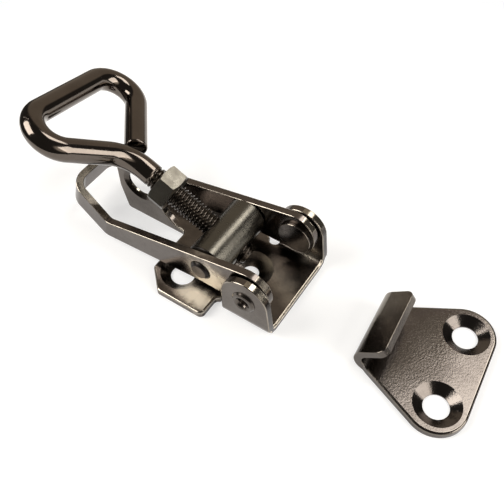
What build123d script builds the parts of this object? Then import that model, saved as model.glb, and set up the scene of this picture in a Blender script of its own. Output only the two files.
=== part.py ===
from build123d import *
import os
from math import acos, cos, pi, radians, sin, sqrt, tan

# Over-centre toggle latch with an adjustable hook bolt, and the catch plate that goes with it.
# Millimetres. X runs from the handle end (-X) past the pivot to the catch plate (+X), +Y is the
# far side and +Z stands away from the mounting surface at Z = 0. The pivot axis is at X = 0.

# ---- stock ----
SHEET = 2.0                  # base plate and catch plate
STRIP = 2.0                  # lever strip
ROD_RADIUS = 3.0             # hook rod
RUNNING_GAP = 0.05           # radial gap of every turning or sliding fit

# ---- countersunk screw holes in the wings and the catch plate ----
SCREW_HOLE_RADIUS = 3.13
SCREW_SEAT_RADIUS = 5.73
SCREW_HOLE_LAND = 0.4        # straight wall left under the seat

# ---- pivot and trunnion axes, both along Y ----
PIVOT_HEIGHT = 10.5
TRUNNION_BACK = 14.35        # behind the pivot
TRUNNION_HEIGHT = 9.65

# ---- base plate: ears ----
EAR_HALF_SPAN = 14.2         # middle to the outer face of an ear
EAR_RADIUS = 6.5
EAR_FOLD_RADIUS = 4.0        # outside of the fold
BASE_FRONT = 7.3             # pivot to the front edge
NOTCH_LENGTH = 3.25          # relief notch behind each ear
NOTCH_FLOOR = 11.7           # middle to the notch's inner end
NOTCH_CORNER = 1.4
RELIEF_RADIUS = 1.6          # round relief where each ear's fold ends
RELIEF_BACK = 7.1

# ---- base plate: wings, flange and screw holes ----
WING_HALF_WIDTH = 18.35
WING_BACK = 28.95            # pivot to the wings' back edge
WING_CHAMFER = 5.4
WING_CORNER = 1.4
FLANGE_BACK = 44.0           # the flange that carries the padlock lug
FLANGE_CORNER = 3.0
WING_HOLE_BACK = 21.6
WING_HOLE_OFFSET = 10.2
FRONT_HOLE_BACK = 7.27       # smaller hole between the ears, under the hook bolt's tail
FRONT_HOLE_RADIUS = 2.2
FRONT_SEAT_RADIUS = 5.95
EDGE_BREAK = 0.35            # chamfer on the sheet's upper edges, both plates

# ---- base plate: padlock lug, standing on the flange's near edge ----
LUG_FACE = 0.9               # near face of the lug
LUG_HEAD_RADIUS = 7.05
LUG_HOLE_BACK = 43.3
LUG_HOLE_HEIGHT = 11.7
LUG_BACK_CORNER = 4.6
LUG_FOOT_FRONT = 32.4
LUG_FOOT_BACK = 48.65
LUG_NECK_HEIGHT = 5.7        # where the lug's front edge starts to flare
LUG_WAIST_HEIGHT = 8.0       # where its back edge starts to taper
PADLOCK_RADIUS = 3.93
PADLOCK_RIM_RADIUS = 5.15
PADLOCK_LAND = 0.5

# ---- lever ----
LEVER_SIDE_GAP = 0.55        # arm to ear
LEVER_EYE_RADIUS = 6.2       # rounded front end of each arm
LEVER_EYE_BACK = 0.8         # its middle, a little behind and above the pivot
LEVER_EYE_HEIGHT = 11.0
LEVER_KNEE_BACK = 44.6       # where the handle end cranks up
LEVER_KNEE_TOP = 7.85
LEVER_KNEE_BOTTOM = 2.2
LEVER_KNEE_RADIUS = 3.0
LEVER_BELLY_HEIGHT = 4.9     # lower edge under the trunnion
HANDLE_LEAN = 17.0           # degrees that the handle end's walls lean from upright
HANDLE_REACH = 15.0          # knee to the outside of the handle's end, square to its walls
HANDLE_RISE = 5.25           # knee to the handle's upper edge at its end
HANDLE_HEIGHT = 6.5          # strip height at the handle's end, along its wall
HANDLE_HALF_WIDTH = 8.8      # half width at the end, before the corners are rounded
HANDLE_CORNER = 5.5

# ---- trunnion ----
BARREL_RADIUS = 5.4
BARREL_SIDE_GAP = 0.15       # barrel end to arm
TRUNNION_PIN_RADIUS = 2.8
TRUNNION_PIN_RISE = 0.85     # pin end outside the arm's outer face
TRUNNION_PIN_CHAMFER = 0.75
BARREL_CHAMFER = 0.4

# ---- pivot rivets ----
RIVET_HEAD_RADIUS = 4.6
RIVET_HEAD_THICKNESS = 0.88
RIVET_HEAD_GAP = 0.05        # head to arm
RIVET_SHANK_RADIUS = 2.4
RIVET_TAIL_RADIUS = 3.2
RIVET_TAIL_HEIGHT = 0.75
RIVET_TAIL_CHAMFER = 0.65
RIVET_BORE_RADIUS = 1.35
RIVET_BORE_DEPTH = 2.6
RIVET_BORE_MOUTH = 0.8       # chamfer where the tail is spread

# ---- hook bolt: lengths along the shank are taken from the trunnion axis ----
HOOK_RISE = 24.85            # degrees that the shank stands above the mounting surface
HOOK_ROLL = -19.0            # degrees that the hook's plane is rolled about the shank
SHANK_TAIL = 7.1             # end that stands out in front of the barrel
SHANK_TAIL_CHAMFER = 1.0
HOOK_BEND = 32.5             # where the near leg leaves the shank's line
HOOK_BEND_RADIUS = 11.5
HOOK_REACH = 54.3            # to the middle of the crossbar
HOOK_NEAR_ANGLE = 53.4       # degrees from the shank's line to the near leg
HOOK_FAR_ANGLE = 55.6
HOOK_CORNER_RADIUS = 6.65
HOOK_RETURN_START = 32.7     # middle of the rod's cut end, along the shank
HOOK_RETURN_OFFSET = 3.47    # and across it
HOOK_RETURN_CHAMFER = 0.5

# ---- lock nut ----
NUT_ACROSS_FLATS = 10.0
NUT_THICKNESS = 4.9
NUT_START = 17.3             # along the shank from the trunnion axis
NUT_TURN = 5.0               # degrees that the hexagon is turned about the shank
NUT_CHAMFER_ANGLE = 30.0

# ---- catch plate ----
CATCH_X = 47.88              # middle of its two holes
CATCH_Y = 1.82
CATCH_TURN = 4.27            # degrees about Z
CATCH_HOLE_SPACING = 20.65
CATCH_FRONT = 7.3            # holes' line to the straight front edge
CATCH_CORNER_RADIUS = 7.6
CATCH_TAPER = 26.4           # degrees that each side closes towards the fold
CATCH_TAPER_BACK = 18.5      # holes' line to where the sides run parallel again
CATCH_FOLD_BACK = 21.24      # holes' line to the outside of the fold
CATCH_FOLD_RADIUS = 4.14     # outside of the fold
CATCH_TAB_HALF_WIDTH = 9.6
CATCH_TAB_ANGLE = 38.9       # degrees that the tab stands over the plate
CATCH_TAB_LENGTH = 6.26      # straight part past the fold
CATCH_TAB_CORNER = 2.0

# ---- sizes that follow from those above ----
EAR_INSIDE = EAR_HALF_SPAN - SHEET
ARM_OUTSIDE = EAR_INSIDE - LEVER_SIDE_GAP
ARM_INSIDE = ARM_OUTSIDE - STRIP
TRUNNION = Vector(-TRUNNION_BACK, 0, TRUNNION_HEIGHT)
HANDLE = Plane(origin=(-LEVER_KNEE_BACK, 0, LEVER_KNEE_TOP),
               x_dir=(-cos(radians(HANDLE_LEAN)), 0, sin(radians(HANDLE_LEAN))),
               z_dir=(sin(radians(HANDLE_LEAN)), 0, cos(radians(HANDLE_LEAN))))
SHANK = Plane(origin=TRUNNION, x_dir=(0, 1, 0),
              z_dir=(-cos(radians(HOOK_RISE)), 0, sin(radians(HOOK_RISE))))


def rounded_outline(corners):
    """Closed outline through (x, y, radius) corners, each rounded by its own radius."""
    edges = []
    ends = []
    count = len(corners)
    for i, (x, y, radius) in enumerate(corners):
        point = Vector(x, y)
        back = (Vector(*corners[i - 1][:2]) - point).normalized()
        ahead = (Vector(*corners[(i + 1) % count][:2]) - point).normalized()
        if radius == 0:
            ends.append((point, point))
            continue
        half = radians(back.get_angle(ahead)) / 2
        setback = radius / tan(half)
        middle = (back + ahead).normalized()
        arc_middle = point + middle * (radius / sin(half) - radius)
        start, end = point + back * setback, point + ahead * setback
        edges.append(ThreePointArc(start, arc_middle, end))
        ends.append((start, end))
    for i in range(count):
        start, end = ends[i - 1][1], ends[i][0]
        if (end - start).length > 1e-6:
            edges.append(Line(start, end))
    return make_face(edges)


def screw_hole(x, y, radius=SCREW_HOLE_RADIUS, seat_radius=SCREW_SEAT_RADIUS):
    """Cutter for one countersunk hole through a plate on Z = 0."""
    seat_depth = SHEET - SCREW_HOLE_LAND
    bore = Cylinder(radius, SHEET, align=(Align.CENTER, Align.CENTER, Align.MIN))
    seat = Cone(radius, seat_radius, seat_depth, align=(Align.CENTER, Align.CENTER, Align.MIN))
    return Pos(x, y, 0) * (bore + Pos(0, 0, SCREW_HOLE_LAND) * seat)


def y_cylinder(radius, near, far, x, z):
    """Round bar along Y between two places."""
    bar = Cylinder(radius, far - near, align=(Align.CENTER, Align.CENTER, Align.MAX))
    return Pos(x, near, z) * Rot(90, 0, 0) * bar


def ear_channel():
    """Both ears and the strip of plate between them: a folded U cut to the ears' outline."""
    top = PIVOT_HEIGHT + EAR_RADIUS
    outside = Pos(0, top / 2) * Rectangle(2 * EAR_HALF_SPAN, top)
    outside = fillet(outside.vertices().group_by(Axis.Y)[0], EAR_FOLD_RADIUS)
    inside = Pos(0, SHEET + top / 2) * Rectangle(2 * EAR_INSIDE, top)
    inside = fillet(inside.vertices().group_by(Axis.Y)[0], EAR_FOLD_RADIUS - SHEET)
    length = EAR_RADIUS + BASE_FRONT
    channel = extrude(Plane.YZ.offset(-EAR_RADIUS) * (outside - inside), length)
    foot = Pos(BASE_FRONT - length / 2, EAR_FOLD_RADIUS / 2) * Rectangle(length, EAR_FOLD_RADIUS)
    crown = Pos(0, PIVOT_HEIGHT) * Circle(EAR_RADIUS)
    side = make_hull(foot.edges() + crown.edges())
    return channel & extrude(Plane.XZ * side, EAR_HALF_SPAN, both=True)


def wing_sheet():
    """Flat wings with their relief notches, and the flange behind the far wing."""
    notch_back = EAR_RADIUS + NOTCH_LENGTH
    shoulder = WING_HALF_WIDTH - WING_CHAMFER
    chamfer_start = WING_BACK - WING_CHAMFER
    outline = rounded_outline([
        (-EAR_RADIUS, NOTCH_FLOOR, 0),
        (-notch_back, NOTCH_FLOOR, NOTCH_CORNER),
        (-notch_back, WING_HALF_WIDTH, WING_CORNER),
        (-chamfer_start, WING_HALF_WIDTH, WING_CORNER),
        (-WING_BACK, shoulder, WING_CORNER),
        (-FLANGE_BACK, shoulder, FLANGE_CORNER),
        (-FLANGE_BACK, LUG_FACE, 0),
        (-WING_BACK, LUG_FACE, NOTCH_CORNER),
        (-WING_BACK, -shoulder, WING_CORNER),
        (-chamfer_start, -WING_HALF_WIDTH, WING_CORNER),
        (-notch_back, -WING_HALF_WIDTH, WING_CORNER),
        (-notch_back, -NOTCH_FLOOR, NOTCH_CORNER),
        (-EAR_RADIUS, -NOTCH_FLOOR, 0),
    ])
    sheet = extrude(outline, SHEET)
    rolled = [e for e in sheet.edges().group_by(Axis.Z)[-1] if e.center().X < -EAR_RADIUS - 0.1
              and not (e.center().X < -WING_BACK and abs(e.center().Y - LUG_FACE) < 0.1)]
    return chamfer(rolled, EDGE_BREAK)


def padlock_lug():
    """Lug that stands up through the handle's loop, with its eye chamfered from both faces."""
    head_front = LUG_HEAD_RADIUS - LUG_HOLE_BACK
    head_back = -LUG_HOLE_BACK - LUG_HEAD_RADIUS
    crown = LUG_HOLE_HEIGHT + LUG_HEAD_RADIUS
    outline = rounded_outline([
        (-LUG_FOOT_FRONT, 0, 0),
        (-LUG_FOOT_FRONT, SHEET, 0),
        (head_front, LUG_NECK_HEIGHT, 3.0),
        (head_front, crown, LUG_HEAD_RADIUS),
        (head_back, crown, LUG_BACK_CORNER),
        (head_back, LUG_WAIST_HEIGHT, 4.0),
        (-LUG_FOOT_BACK, 0, 1.0),
    ])
    far = LUG_FACE + SHEET
    lug = extrude(Plane.XZ.offset(-far) * outline, SHEET)
    rim_depth = (SHEET - PADLOCK_LAND) / 2
    rim = Cone(PADLOCK_RIM_RADIUS, PADLOCK_RADIUS, rim_depth,
               align=(Align.CENTER, Align.CENTER, Align.MIN))
    eye = (Cylinder(PADLOCK_RADIUS, SHEET, align=(Align.CENTER, Align.CENTER, Align.MIN)) + rim
           + Pos(0, 0, SHEET) * Rot(180, 0, 0) * rim)
    lug -= Pos(-LUG_HOLE_BACK, LUG_FACE, LUG_HOLE_HEIGHT) * Rot(-90, 0, 0) * eye
    return lug


def base_plate():
    """One stamping: plate with two wings, two ears for the lever and the padlock lug."""
    plate = ear_channel() + wing_sheet() + padlock_lug()
    for side in (-1, 1):
        plate -= screw_hole(-WING_HOLE_BACK, side * WING_HOLE_OFFSET)
        rivet_hole = y_cylinder(RIVET_SHANK_RADIUS, EAR_INSIDE, EAR_HALF_SPAN, 0, PIVOT_HEIGHT)
        plate -= rivet_hole if side > 0 else mirror(rivet_hole, Plane.XZ)
        plate -= Pos(-RELIEF_BACK, side * NOTCH_FLOOR, 0) * Cylinder(
            RELIEF_RADIUS, EAR_FOLD_RADIUS, align=(Align.CENTER, Align.CENTER, Align.MIN))
    plate -= screw_hole(-FRONT_HOLE_BACK, 0, FRONT_HOLE_RADIUS, FRONT_SEAT_RADIUS)
    return plate


def eye_tangent(start, side):
    """Point where a line from start touches the lever's eye, above (+1) or below (-1) it."""
    middle = Vector(-LEVER_EYE_BACK, LEVER_EYE_HEIGHT)
    toward = start - middle
    turn = acos(LEVER_EYE_RADIUS / toward.length)
    return middle + toward.normalized().rotate(Axis.Z, -side * turn * 180 / pi) * LEVER_EYE_RADIUS


def lever_side():
    """The lever seen from the side: arms, eye about the pivot and cranked handle end."""
    knee = Vector(-LEVER_KNEE_BACK, LEVER_KNEE_TOP)
    belly = Vector(-TRUNNION_BACK, LEVER_BELLY_HEIGHT)
    over, under = eye_tangent(knee, 1), eye_tangent(belly, -1)
    end_top = HANDLE.from_local_coords(Vector(HANDLE_REACH, 0, 0))
    end_top = Vector(end_top.X, LEVER_KNEE_TOP + HANDLE_RISE)
    wall = Vector(HANDLE.z_dir.X, HANDLE.z_dir.Z)
    end_bottom = end_top - wall * HANDLE_HEIGHT
    arm = rounded_outline([
        (over.X, over.Y, 0),
        (knee.X, knee.Y, LEVER_KNEE_RADIUS),
        (end_top.X, end_top.Y, 0),
        (end_bottom.X, end_bottom.Y, 0),
        (-LEVER_KNEE_BACK - 1, LEVER_KNEE_BOTTOM, 2 * LEVER_KNEE_RADIUS),
        (belly.X, belly.Y, 2 * LEVER_KNEE_RADIUS),
        (under.X, under.Y, 0),
        (-LEVER_EYE_BACK, LEVER_EYE_HEIGHT, 0),
    ])
    return arm + Pos(-LEVER_EYE_BACK, LEVER_EYE_HEIGHT) * Circle(LEVER_EYE_RADIUS)


def lever():
    """One strip on edge, bent to a U: two arms and the closed end that the hand lifts."""
    front = -1.5 * LEVER_KNEE_BACK
    outside = rounded_outline([
        (front, -ARM_OUTSIDE, 0),
        (0, -ARM_OUTSIDE, LEVER_KNEE_RADIUS + STRIP),
        (HANDLE_REACH, -HANDLE_HALF_WIDTH, HANDLE_CORNER),
        (HANDLE_REACH, HANDLE_HALF_WIDTH, HANDLE_CORNER),
        (0, ARM_OUTSIDE, LEVER_KNEE_RADIUS + STRIP),
        (front, ARM_OUTSIDE, 0),
    ])
    mouth = Pos(front, 0) * Rectangle(4 * STRIP, 2 * ARM_INSIDE)
    band = outside - offset(outside, -STRIP) - mouth
    walls = extrude(HANDLE * band, LEVER_KNEE_BACK, both=True)
    strip = walls & extrude(Plane.XZ * lever_side(), ARM_OUTSIDE, both=True)
    pivot_hole = y_cylinder(RIVET_SHANK_RADIUS + RUNNING_GAP, -ARM_OUTSIDE, ARM_OUTSIDE, 0,
                            PIVOT_HEIGHT)
    pin_hole = y_cylinder(TRUNNION_PIN_RADIUS + RUNNING_GAP, -ARM_OUTSIDE, ARM_OUTSIDE,
                          -TRUNNION_BACK, TRUNNION_HEIGHT)
    return strip - pivot_hole - pin_hole


def trunnion():
    """Cross bar that turns in the arms and carries the hook bolt in its threaded hole."""
    half_barrel = ARM_INSIDE - BARREL_SIDE_GAP
    half_pin = ARM_OUTSIDE + TRUNNION_PIN_RISE
    barrel = Cylinder(BARREL_RADIUS, 2 * half_barrel)
    barrel = chamfer(barrel.edges().filter_by(GeomType.CIRCLE), BARREL_CHAMFER)
    pins = Cylinder(TRUNNION_PIN_RADIUS, 2 * half_pin)
    pins = chamfer(pins.edges().filter_by(GeomType.CIRCLE), TRUNNION_PIN_CHAMFER)
    bar = Pos(TRUNNION) * Rot(90, 0, 0) * (barrel + pins)
    return bar - SHANK * Cylinder(ROD_RADIUS + RUNNING_GAP, 4 * BARREL_RADIUS)


def pivot_rivet(side):
    """Semi-tubular rivet: flat head inside the arm, tail rolled over outside the ear."""
    head_face = ARM_INSIDE - RIVET_HEAD_GAP
    tail_end = EAR_HALF_SPAN + RIVET_TAIL_HEIGHT
    upward = (Align.CENTER, Align.CENTER, Align.MIN)
    downward = (Align.CENTER, Align.CENTER, Align.MAX)
    head = Pos(0, 0, head_face) * Cylinder(RIVET_HEAD_RADIUS, RIVET_HEAD_THICKNESS, align=downward)
    shank = Pos(0, 0, head_face) * Cylinder(RIVET_SHANK_RADIUS, EAR_HALF_SPAN - head_face,
                                            align=upward)
    tail = Cylinder(RIVET_TAIL_RADIUS, RIVET_TAIL_HEIGHT, align=upward)
    tail = Pos(0, 0, EAR_HALF_SPAN) * chamfer(tail.edges().group_by(Axis.Z)[-1], RIVET_TAIL_CHAMFER)
    bore = Pos(0, 0, tail_end) * (
        Cylinder(RIVET_BORE_RADIUS, RIVET_BORE_DEPTH, align=downward)
        + Cone(RIVET_BORE_RADIUS, RIVET_BORE_RADIUS + RIVET_BORE_MOUTH, RIVET_BORE_MOUTH,
               align=downward))
    return Pos(0, 0, PIVOT_HEIGHT) * Rot(-90 * side, 0, 0) * (head + shank + tail - bore)


def hook_bolt():
    """Round rod: screwed shank, then a triangular hook bent in one plane beside it."""
    roll = radians(HOOK_ROLL)
    across = SHANK.x_dir * cos(roll) - SHANK.y_dir * sin(roll)
    hook_plane = Plane(origin=TRUNNION, x_dir=SHANK.z_dir, z_dir=SHANK.z_dir.cross(across))
    rise = HOOK_REACH - HOOK_BEND
    near_corner = -rise * tan(radians(HOOK_NEAR_ANGLE))
    far_corner = HOOK_RETURN_OFFSET + (HOOK_REACH - HOOK_RETURN_START) * tan(radians(HOOK_FAR_ANGLE))
    route = FilletPolyline(
        (-SHANK_TAIL, 0),
        (HOOK_BEND, 0),
        (HOOK_REACH, near_corner),
        (HOOK_REACH, far_corner),
        (HOOK_RETURN_START, HOOK_RETURN_OFFSET),
        radius=[HOOK_BEND_RADIUS, HOOK_CORNER_RADIUS, HOOK_CORNER_RADIUS])
    path = hook_plane * route
    section = Plane(origin=path @ 0, z_dir=path % 0) * Circle(ROD_RADIUS)
    rod = sweep(section, path)
    ends = rod.faces().filter_by(GeomType.PLANE)
    tail_face = ends.sort_by_distance(path @ 0)[0]
    rod = chamfer(tail_face.edges(), SHANK_TAIL_CHAMFER)
    return_face = rod.faces().filter_by(GeomType.PLANE).sort_by_distance(path @ 1)[0]
    return chamfer(return_face.edges(), HOOK_RETURN_CHAMFER)


def lock_nut():
    """Hexagon nut on the shank, both faces chamfered."""
    hexagon = Rot(0, 0, NUT_TURN) * RegularPolygon(NUT_ACROSS_FLATS / 2, 6, major_radius=False)
    nut = extrude(hexagon, NUT_THICKNESS)
    corner_radius = NUT_ACROSS_FLATS / sqrt(3)
    slope = tan(radians(NUT_CHAMFER_ANGLE))
    drop = (corner_radius - NUT_ACROSS_FLATS / 2) * slope
    turned = Cylinder(corner_radius, NUT_THICKNESS, align=(Align.CENTER, Align.CENTER, Align.MIN))
    turned = chamfer(turned.edges().filter_by(GeomType.CIRCLE), drop, drop / slope)
    bore = Cylinder(ROD_RADIUS + RUNNING_GAP, NUT_THICKNESS,
                    align=(Align.CENTER, Align.CENTER, Align.MIN))
    return SHANK * Pos(0, 0, NUT_START) * ((nut & turned) - bore)


def catch_fold():
    """Section of the fold and the tab that turns back over the plate."""
    turn = radians(180 - CATCH_TAB_ANGLE)
    middle = Vector(CATCH_FOLD_RADIUS - CATCH_FOLD_BACK, CATCH_FOLD_RADIUS)
    inner_radius = CATCH_FOLD_RADIUS - SHEET

    def place(radius, angle):
        return middle + Vector(-sin(angle), -cos(angle)) * radius

    along = Vector(-cos(turn), sin(turn)) * CATCH_TAB_LENGTH
    outer_end, inner_end = place(CATCH_FOLD_RADIUS, turn), place(inner_radius, turn)
    outer = ThreePointArc(place(CATCH_FOLD_RADIUS, 0), place(CATCH_FOLD_RADIUS, turn / 2), outer_end)
    inner = ThreePointArc(place(inner_radius, 0), place(inner_radius, turn / 2), inner_end)
    tab = Polyline(outer_end, outer_end + along, inner_end + along, inner_end)
    root = Line(place(inner_radius, 0), place(CATCH_FOLD_RADIUS, 0))
    return make_face([outer, inner, *tab.edges(), root])


def catch_plate():
    """Screwed-down plate whose back edge is folded over into the catch for the hook."""
    slope = tan(radians(CATCH_TAPER))
    fold_start = CATCH_FOLD_RADIUS - CATCH_FOLD_BACK
    root = CATCH_TAB_HALF_WIDTH + (fold_start + CATCH_TAPER_BACK) * slope
    widest = root + (CATCH_FRONT - fold_start) * slope
    outline = rounded_outline([
        (CATCH_FRONT, -widest, CATCH_CORNER_RADIUS),
        (CATCH_FRONT, widest, CATCH_CORNER_RADIUS),
        (fold_start, root, 0),
        (fold_start, -root, 0),
    ])
    plate = extrude(outline, SHEET)
    rolled = [e for e in plate.edges().group_by(Axis.Z)[-1] if e.center().X > fold_start + 0.1]
    plate = chamfer(rolled, EDGE_BREAK)
    band = extrude(Plane.XZ * catch_fold(), root, both=True)
    neck = Polyline((fold_start, -root), (-CATCH_TAPER_BACK, -CATCH_TAB_HALF_WIDTH),
                    (-CATCH_FOLD_BACK, -CATCH_TAB_HALF_WIDTH),
                    (-CATCH_FOLD_BACK, CATCH_TAB_HALF_WIDTH),
                    (-CATCH_TAPER_BACK, CATCH_TAB_HALF_WIDTH), (fold_start, root), close=True)
    tall = Box(4 * CATCH_FOLD_RADIUS, 2 * CATCH_TAB_HALF_WIDTH, 4 * CATCH_FOLD_RADIUS,
               align=(Align.CENTER, Align.CENTER, Align.MIN))
    keep = (extrude(make_face(neck.edges()), CATCH_FOLD_RADIUS)
            + Pos(fold_start, 0, CATCH_FOLD_RADIUS) * tall)
    band = band & keep
    corners = band.edges().filter_by(lambda e: abs(e.length - SHEET) < 1e-3).sort_by(Axis.X)[-4:]
    band = fillet([e for e in corners if e.center().Z > 2 * SHEET], CATCH_TAB_CORNER)
    plate += band
    for offset_y in (-CATCH_HOLE_SPACING / 2, CATCH_HOLE_SPACING / 2):
        plate -= screw_hole(0, offset_y)
    return Pos(CATCH_X, CATCH_Y, 0) * Rot(0, 0, CATCH_TURN) * plate


SUB_PARTS = {
    "base_plate": base_plate,
    "lever": lever,
    "trunnion": trunnion,
    "near_pivot_rivet": lambda: pivot_rivet(-1),
    "far_pivot_rivet": lambda: pivot_rivet(1),
    "hook_bolt": hook_bolt,
    "lock_nut": lock_nut,
    "catch_plate": catch_plate,
}

os.makedirs("parts", exist_ok=True)
for name, make in SUB_PARTS.items():
    export_step(make(), f"parts/{name}.step")
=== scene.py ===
import logging
import math
from dataclasses import dataclass, field
from enum import Enum
from typing import Sequence

import bmesh
import bpy
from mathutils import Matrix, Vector


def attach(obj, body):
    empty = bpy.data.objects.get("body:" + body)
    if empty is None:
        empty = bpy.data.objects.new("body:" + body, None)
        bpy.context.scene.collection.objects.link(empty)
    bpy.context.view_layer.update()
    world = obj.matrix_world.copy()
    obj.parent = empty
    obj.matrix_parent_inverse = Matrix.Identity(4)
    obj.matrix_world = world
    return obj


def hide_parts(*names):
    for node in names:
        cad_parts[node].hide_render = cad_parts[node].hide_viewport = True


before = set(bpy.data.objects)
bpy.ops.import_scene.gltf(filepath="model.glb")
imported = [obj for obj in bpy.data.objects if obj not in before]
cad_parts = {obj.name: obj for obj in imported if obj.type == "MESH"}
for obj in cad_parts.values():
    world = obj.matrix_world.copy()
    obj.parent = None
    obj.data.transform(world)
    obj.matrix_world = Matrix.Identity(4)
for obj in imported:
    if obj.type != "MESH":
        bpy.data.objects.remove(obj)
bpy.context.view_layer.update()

LOG = logging.getLogger("toggle_latch")

# ---- sizes in metres, angles in degrees
MM = 0.001
SHEET = 2.0 * MM             # sheet of the plates
EAR_FOOT = 4.0 * MM          # the base plate is ears and lug above this height
SQUARE = (75.0, 105.0)       # turn between faces that meet at a cut edge
EDGE_BREAK = (41.0, 49.0)    # turn where a narrow broken edge meets the faces beside it
CRISP = 20.0                 # an edge that turns more than this is seen as an edge
WELD = 1e-6                  # corners closer than this become one
FLAT = 0.6                   # faces that turn less than this are joined
FOREMOST = 0.02 * MM         # how near to the front a corner counts as on it
ROUND_PROFILE = 0.5          # profile that bevels to an arc
FLAT_FACE_WEIGHT = 80        # how far large faces lead the shading

# ---- plating clouds: large clouds and fine specks mixed
CLOUD_DETAIL, CLOUD_ROUGHNESS = 5.0, 0.6
SPECK_FINENESS, SPECK_DETAIL, SPECK_SHARE = 14.0, 3.0, 0.35
CLOUD_BAND = (0.45, 0.95)
# Sheen places are also painted a pale colour; this is how much less metallic a full one is.
SATIN_SHEEN_METAL_LOSS = 0.75      # how much less metallic a fully satin place is

# ---- tool marks: fine lines, soft waves and hairline scratches
LINE_DETAIL = 4.0
WAVE_SCALE, WAVE_DETAIL, WAVE_ROUGHNESS = 75.0, 1.0, 0.4
HAIR_TURN, HAIR_STRETCH = (0.7, 0.4, 0.9), (0.25, 5.0, 1.2)
HAIR_SCALE, HAIR_DETAIL = 420.0, 2.0
HAIR_BAND = (0.66, 0.74)

# ---- painted sheen patches: a round pale patch with a ragged rim, a painted reflection
RAGGED_SCALE, RAGGED_DETAIL, RAGGED_ROUGHNESS, RAGGED_SHARE = 260.0, 4.0, 0.6, 0.9
SHEEN_PATCH_BAND = (0.65, 1.45)

# ---- thread groove: where it starts and where it is full, from crest 0 to root 1
GROOVE_BAND = (0.12, 0.95)

WHITE = (1.0, 1.0, 1.0, 1.0)

# ---- sockets of a Mix node that is set to colours
MIX_SHARE, MIX_FIRST, MIX_SECOND, MIX_RESULT = 0, 6, 7, 2


class Grain(Enum):
    """How the tool left the surface, as the stretch of its fine lines along X, Y and Z."""

    TUMBLED = (1.0, 1.0, 1.0)
    TURNED_ABOUT_Y = (0.15, 14.0, 0.15)


# ---------------------------------------------------------------- node helpers


def new_group(name: str, inputs: Sequence[tuple], outputs: Sequence[tuple]) -> bpy.types.NodeTree:
    """Make an empty shader node group with named sockets.

    Args:
        name: Name of the group.
        inputs: Pairs of socket name and socket type, with an optional default as a third item.
        outputs: Pairs of socket name and socket type.

    Returns:
        The node tree, holding only its input and output nodes.
    """
    tree = bpy.data.node_groups.new(name, "ShaderNodeTree")
    for spec in inputs:
        socket = tree.interface.new_socket(spec[0], in_out="INPUT", socket_type=spec[1])
        if len(spec) > 2:
            socket.default_value = spec[2]
    for label, kind in outputs:
        tree.interface.new_socket(label, in_out="OUTPUT", socket_type=kind)
    tree.nodes.new("NodeGroupInput").name = "In"
    tree.nodes.new("NodeGroupOutput").name = "Out"
    return tree


def feed(tree: bpy.types.NodeTree, socket, value) -> None:
    """Set a socket to a number or tuple, or link another socket to it."""
    if isinstance(value, (int, float, tuple)):
        socket.default_value = value
    else:
        tree.links.new(value, socket)


def math_node(tree: bpy.types.NodeTree, operation: str, *values):
    """Add a Math node and feed it.

    Args:
        tree: Tree that gets the node.
        operation: Blender's name for the operation.
        *values: Socket or number for each value that the operation takes.

    Returns:
        The node's output socket.
    """
    node = tree.nodes.new("ShaderNodeMath")
    node.operation = operation
    for socket, value in zip(node.inputs, values):
        feed(tree, socket, value)
    return node.outputs[0]


def vector_node(tree: bpy.types.NodeTree, operation: str, first, second=None) -> bpy.types.Node:
    """Add a Vector Math node and feed it.

    Args:
        tree: Tree that gets the node.
        operation: Blender's name for the operation.
        first: Socket or tuple for the first vector.
        second: Socket or tuple for the second vector, or the scale where there is one.

    Returns:
        The node, whose result is at output 0, or at "Value" if it is a number.
    """
    node = tree.nodes.new("ShaderNodeVectorMath")
    node.operation = operation
    feed(tree, node.inputs[0], first)
    if second is not None:
        feed(tree, node.inputs["Scale" if operation == "SCALE" else 1], second)
    return node


def noise_node(tree: bpy.types.NodeTree, vector, scale, detail: float, roughness: float = 0.5):
    """Add a Noise Texture node.

    Args:
        tree: Tree that gets the node.
        vector: Socket with the position.
        scale: Socket or number for the scale.
        detail: Number of octaves.
        roughness: Share that each octave keeps of the one before.

    Returns:
        The Factor socket.
    """
    node = tree.nodes.new("ShaderNodeTexNoise")
    for label, value in (("Vector", vector), ("Scale", scale), ("Detail", detail),
                         ("Roughness", roughness)):
        feed(tree, node.inputs[label], value)
    return node.outputs[0]


def band(tree: bpy.types.NodeTree, value, low: float, high: float):
    """Map a value from low..high to a smooth 0..1 mask.

    Args:
        tree: Tree that gets the node.
        value: Socket with the value.
        low: Value that gives 0.
        high: Value that gives 1.

    Returns:
        The mask's socket.
    """
    node = tree.nodes.new("ShaderNodeMapRange")
    node.interpolation_type = "SMOOTHSTEP"
    for label, given in (("Value", value), ("From Min", low), ("From Max", high)):
        feed(tree, node.inputs[label], given)
    return node.outputs[0]


def mix_colour(tree: bpy.types.NodeTree, share, first, second):
    """Add a node that mixes two colours.

    Args:
        tree: Tree that gets the node.
        share: Socket with the share of the second colour.
        first: Socket or tuple for the first colour.
        second: Socket or tuple for the second colour.

    Returns:
        The mixed colour's socket.
    """
    node = tree.nodes.new("ShaderNodeMix")
    node.data_type = "RGBA"
    for slot, value in ((MIX_SHARE, share), (MIX_FIRST, first), (MIX_SECOND, second)):
        feed(tree, node.inputs[slot], value)
    return node.outputs[MIX_RESULT]


def mapping_node(tree: bpy.types.NodeTree, vector, **settings: tuple):
    """Add a Mapping node with the given settings and return its output socket."""
    node = tree.nodes.new("ShaderNodeMapping")
    feed(tree, node.inputs["Vector"], vector)
    for label, value in settings.items():
        feed(tree, node.inputs[label], value)
    return node.outputs[0]


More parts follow.
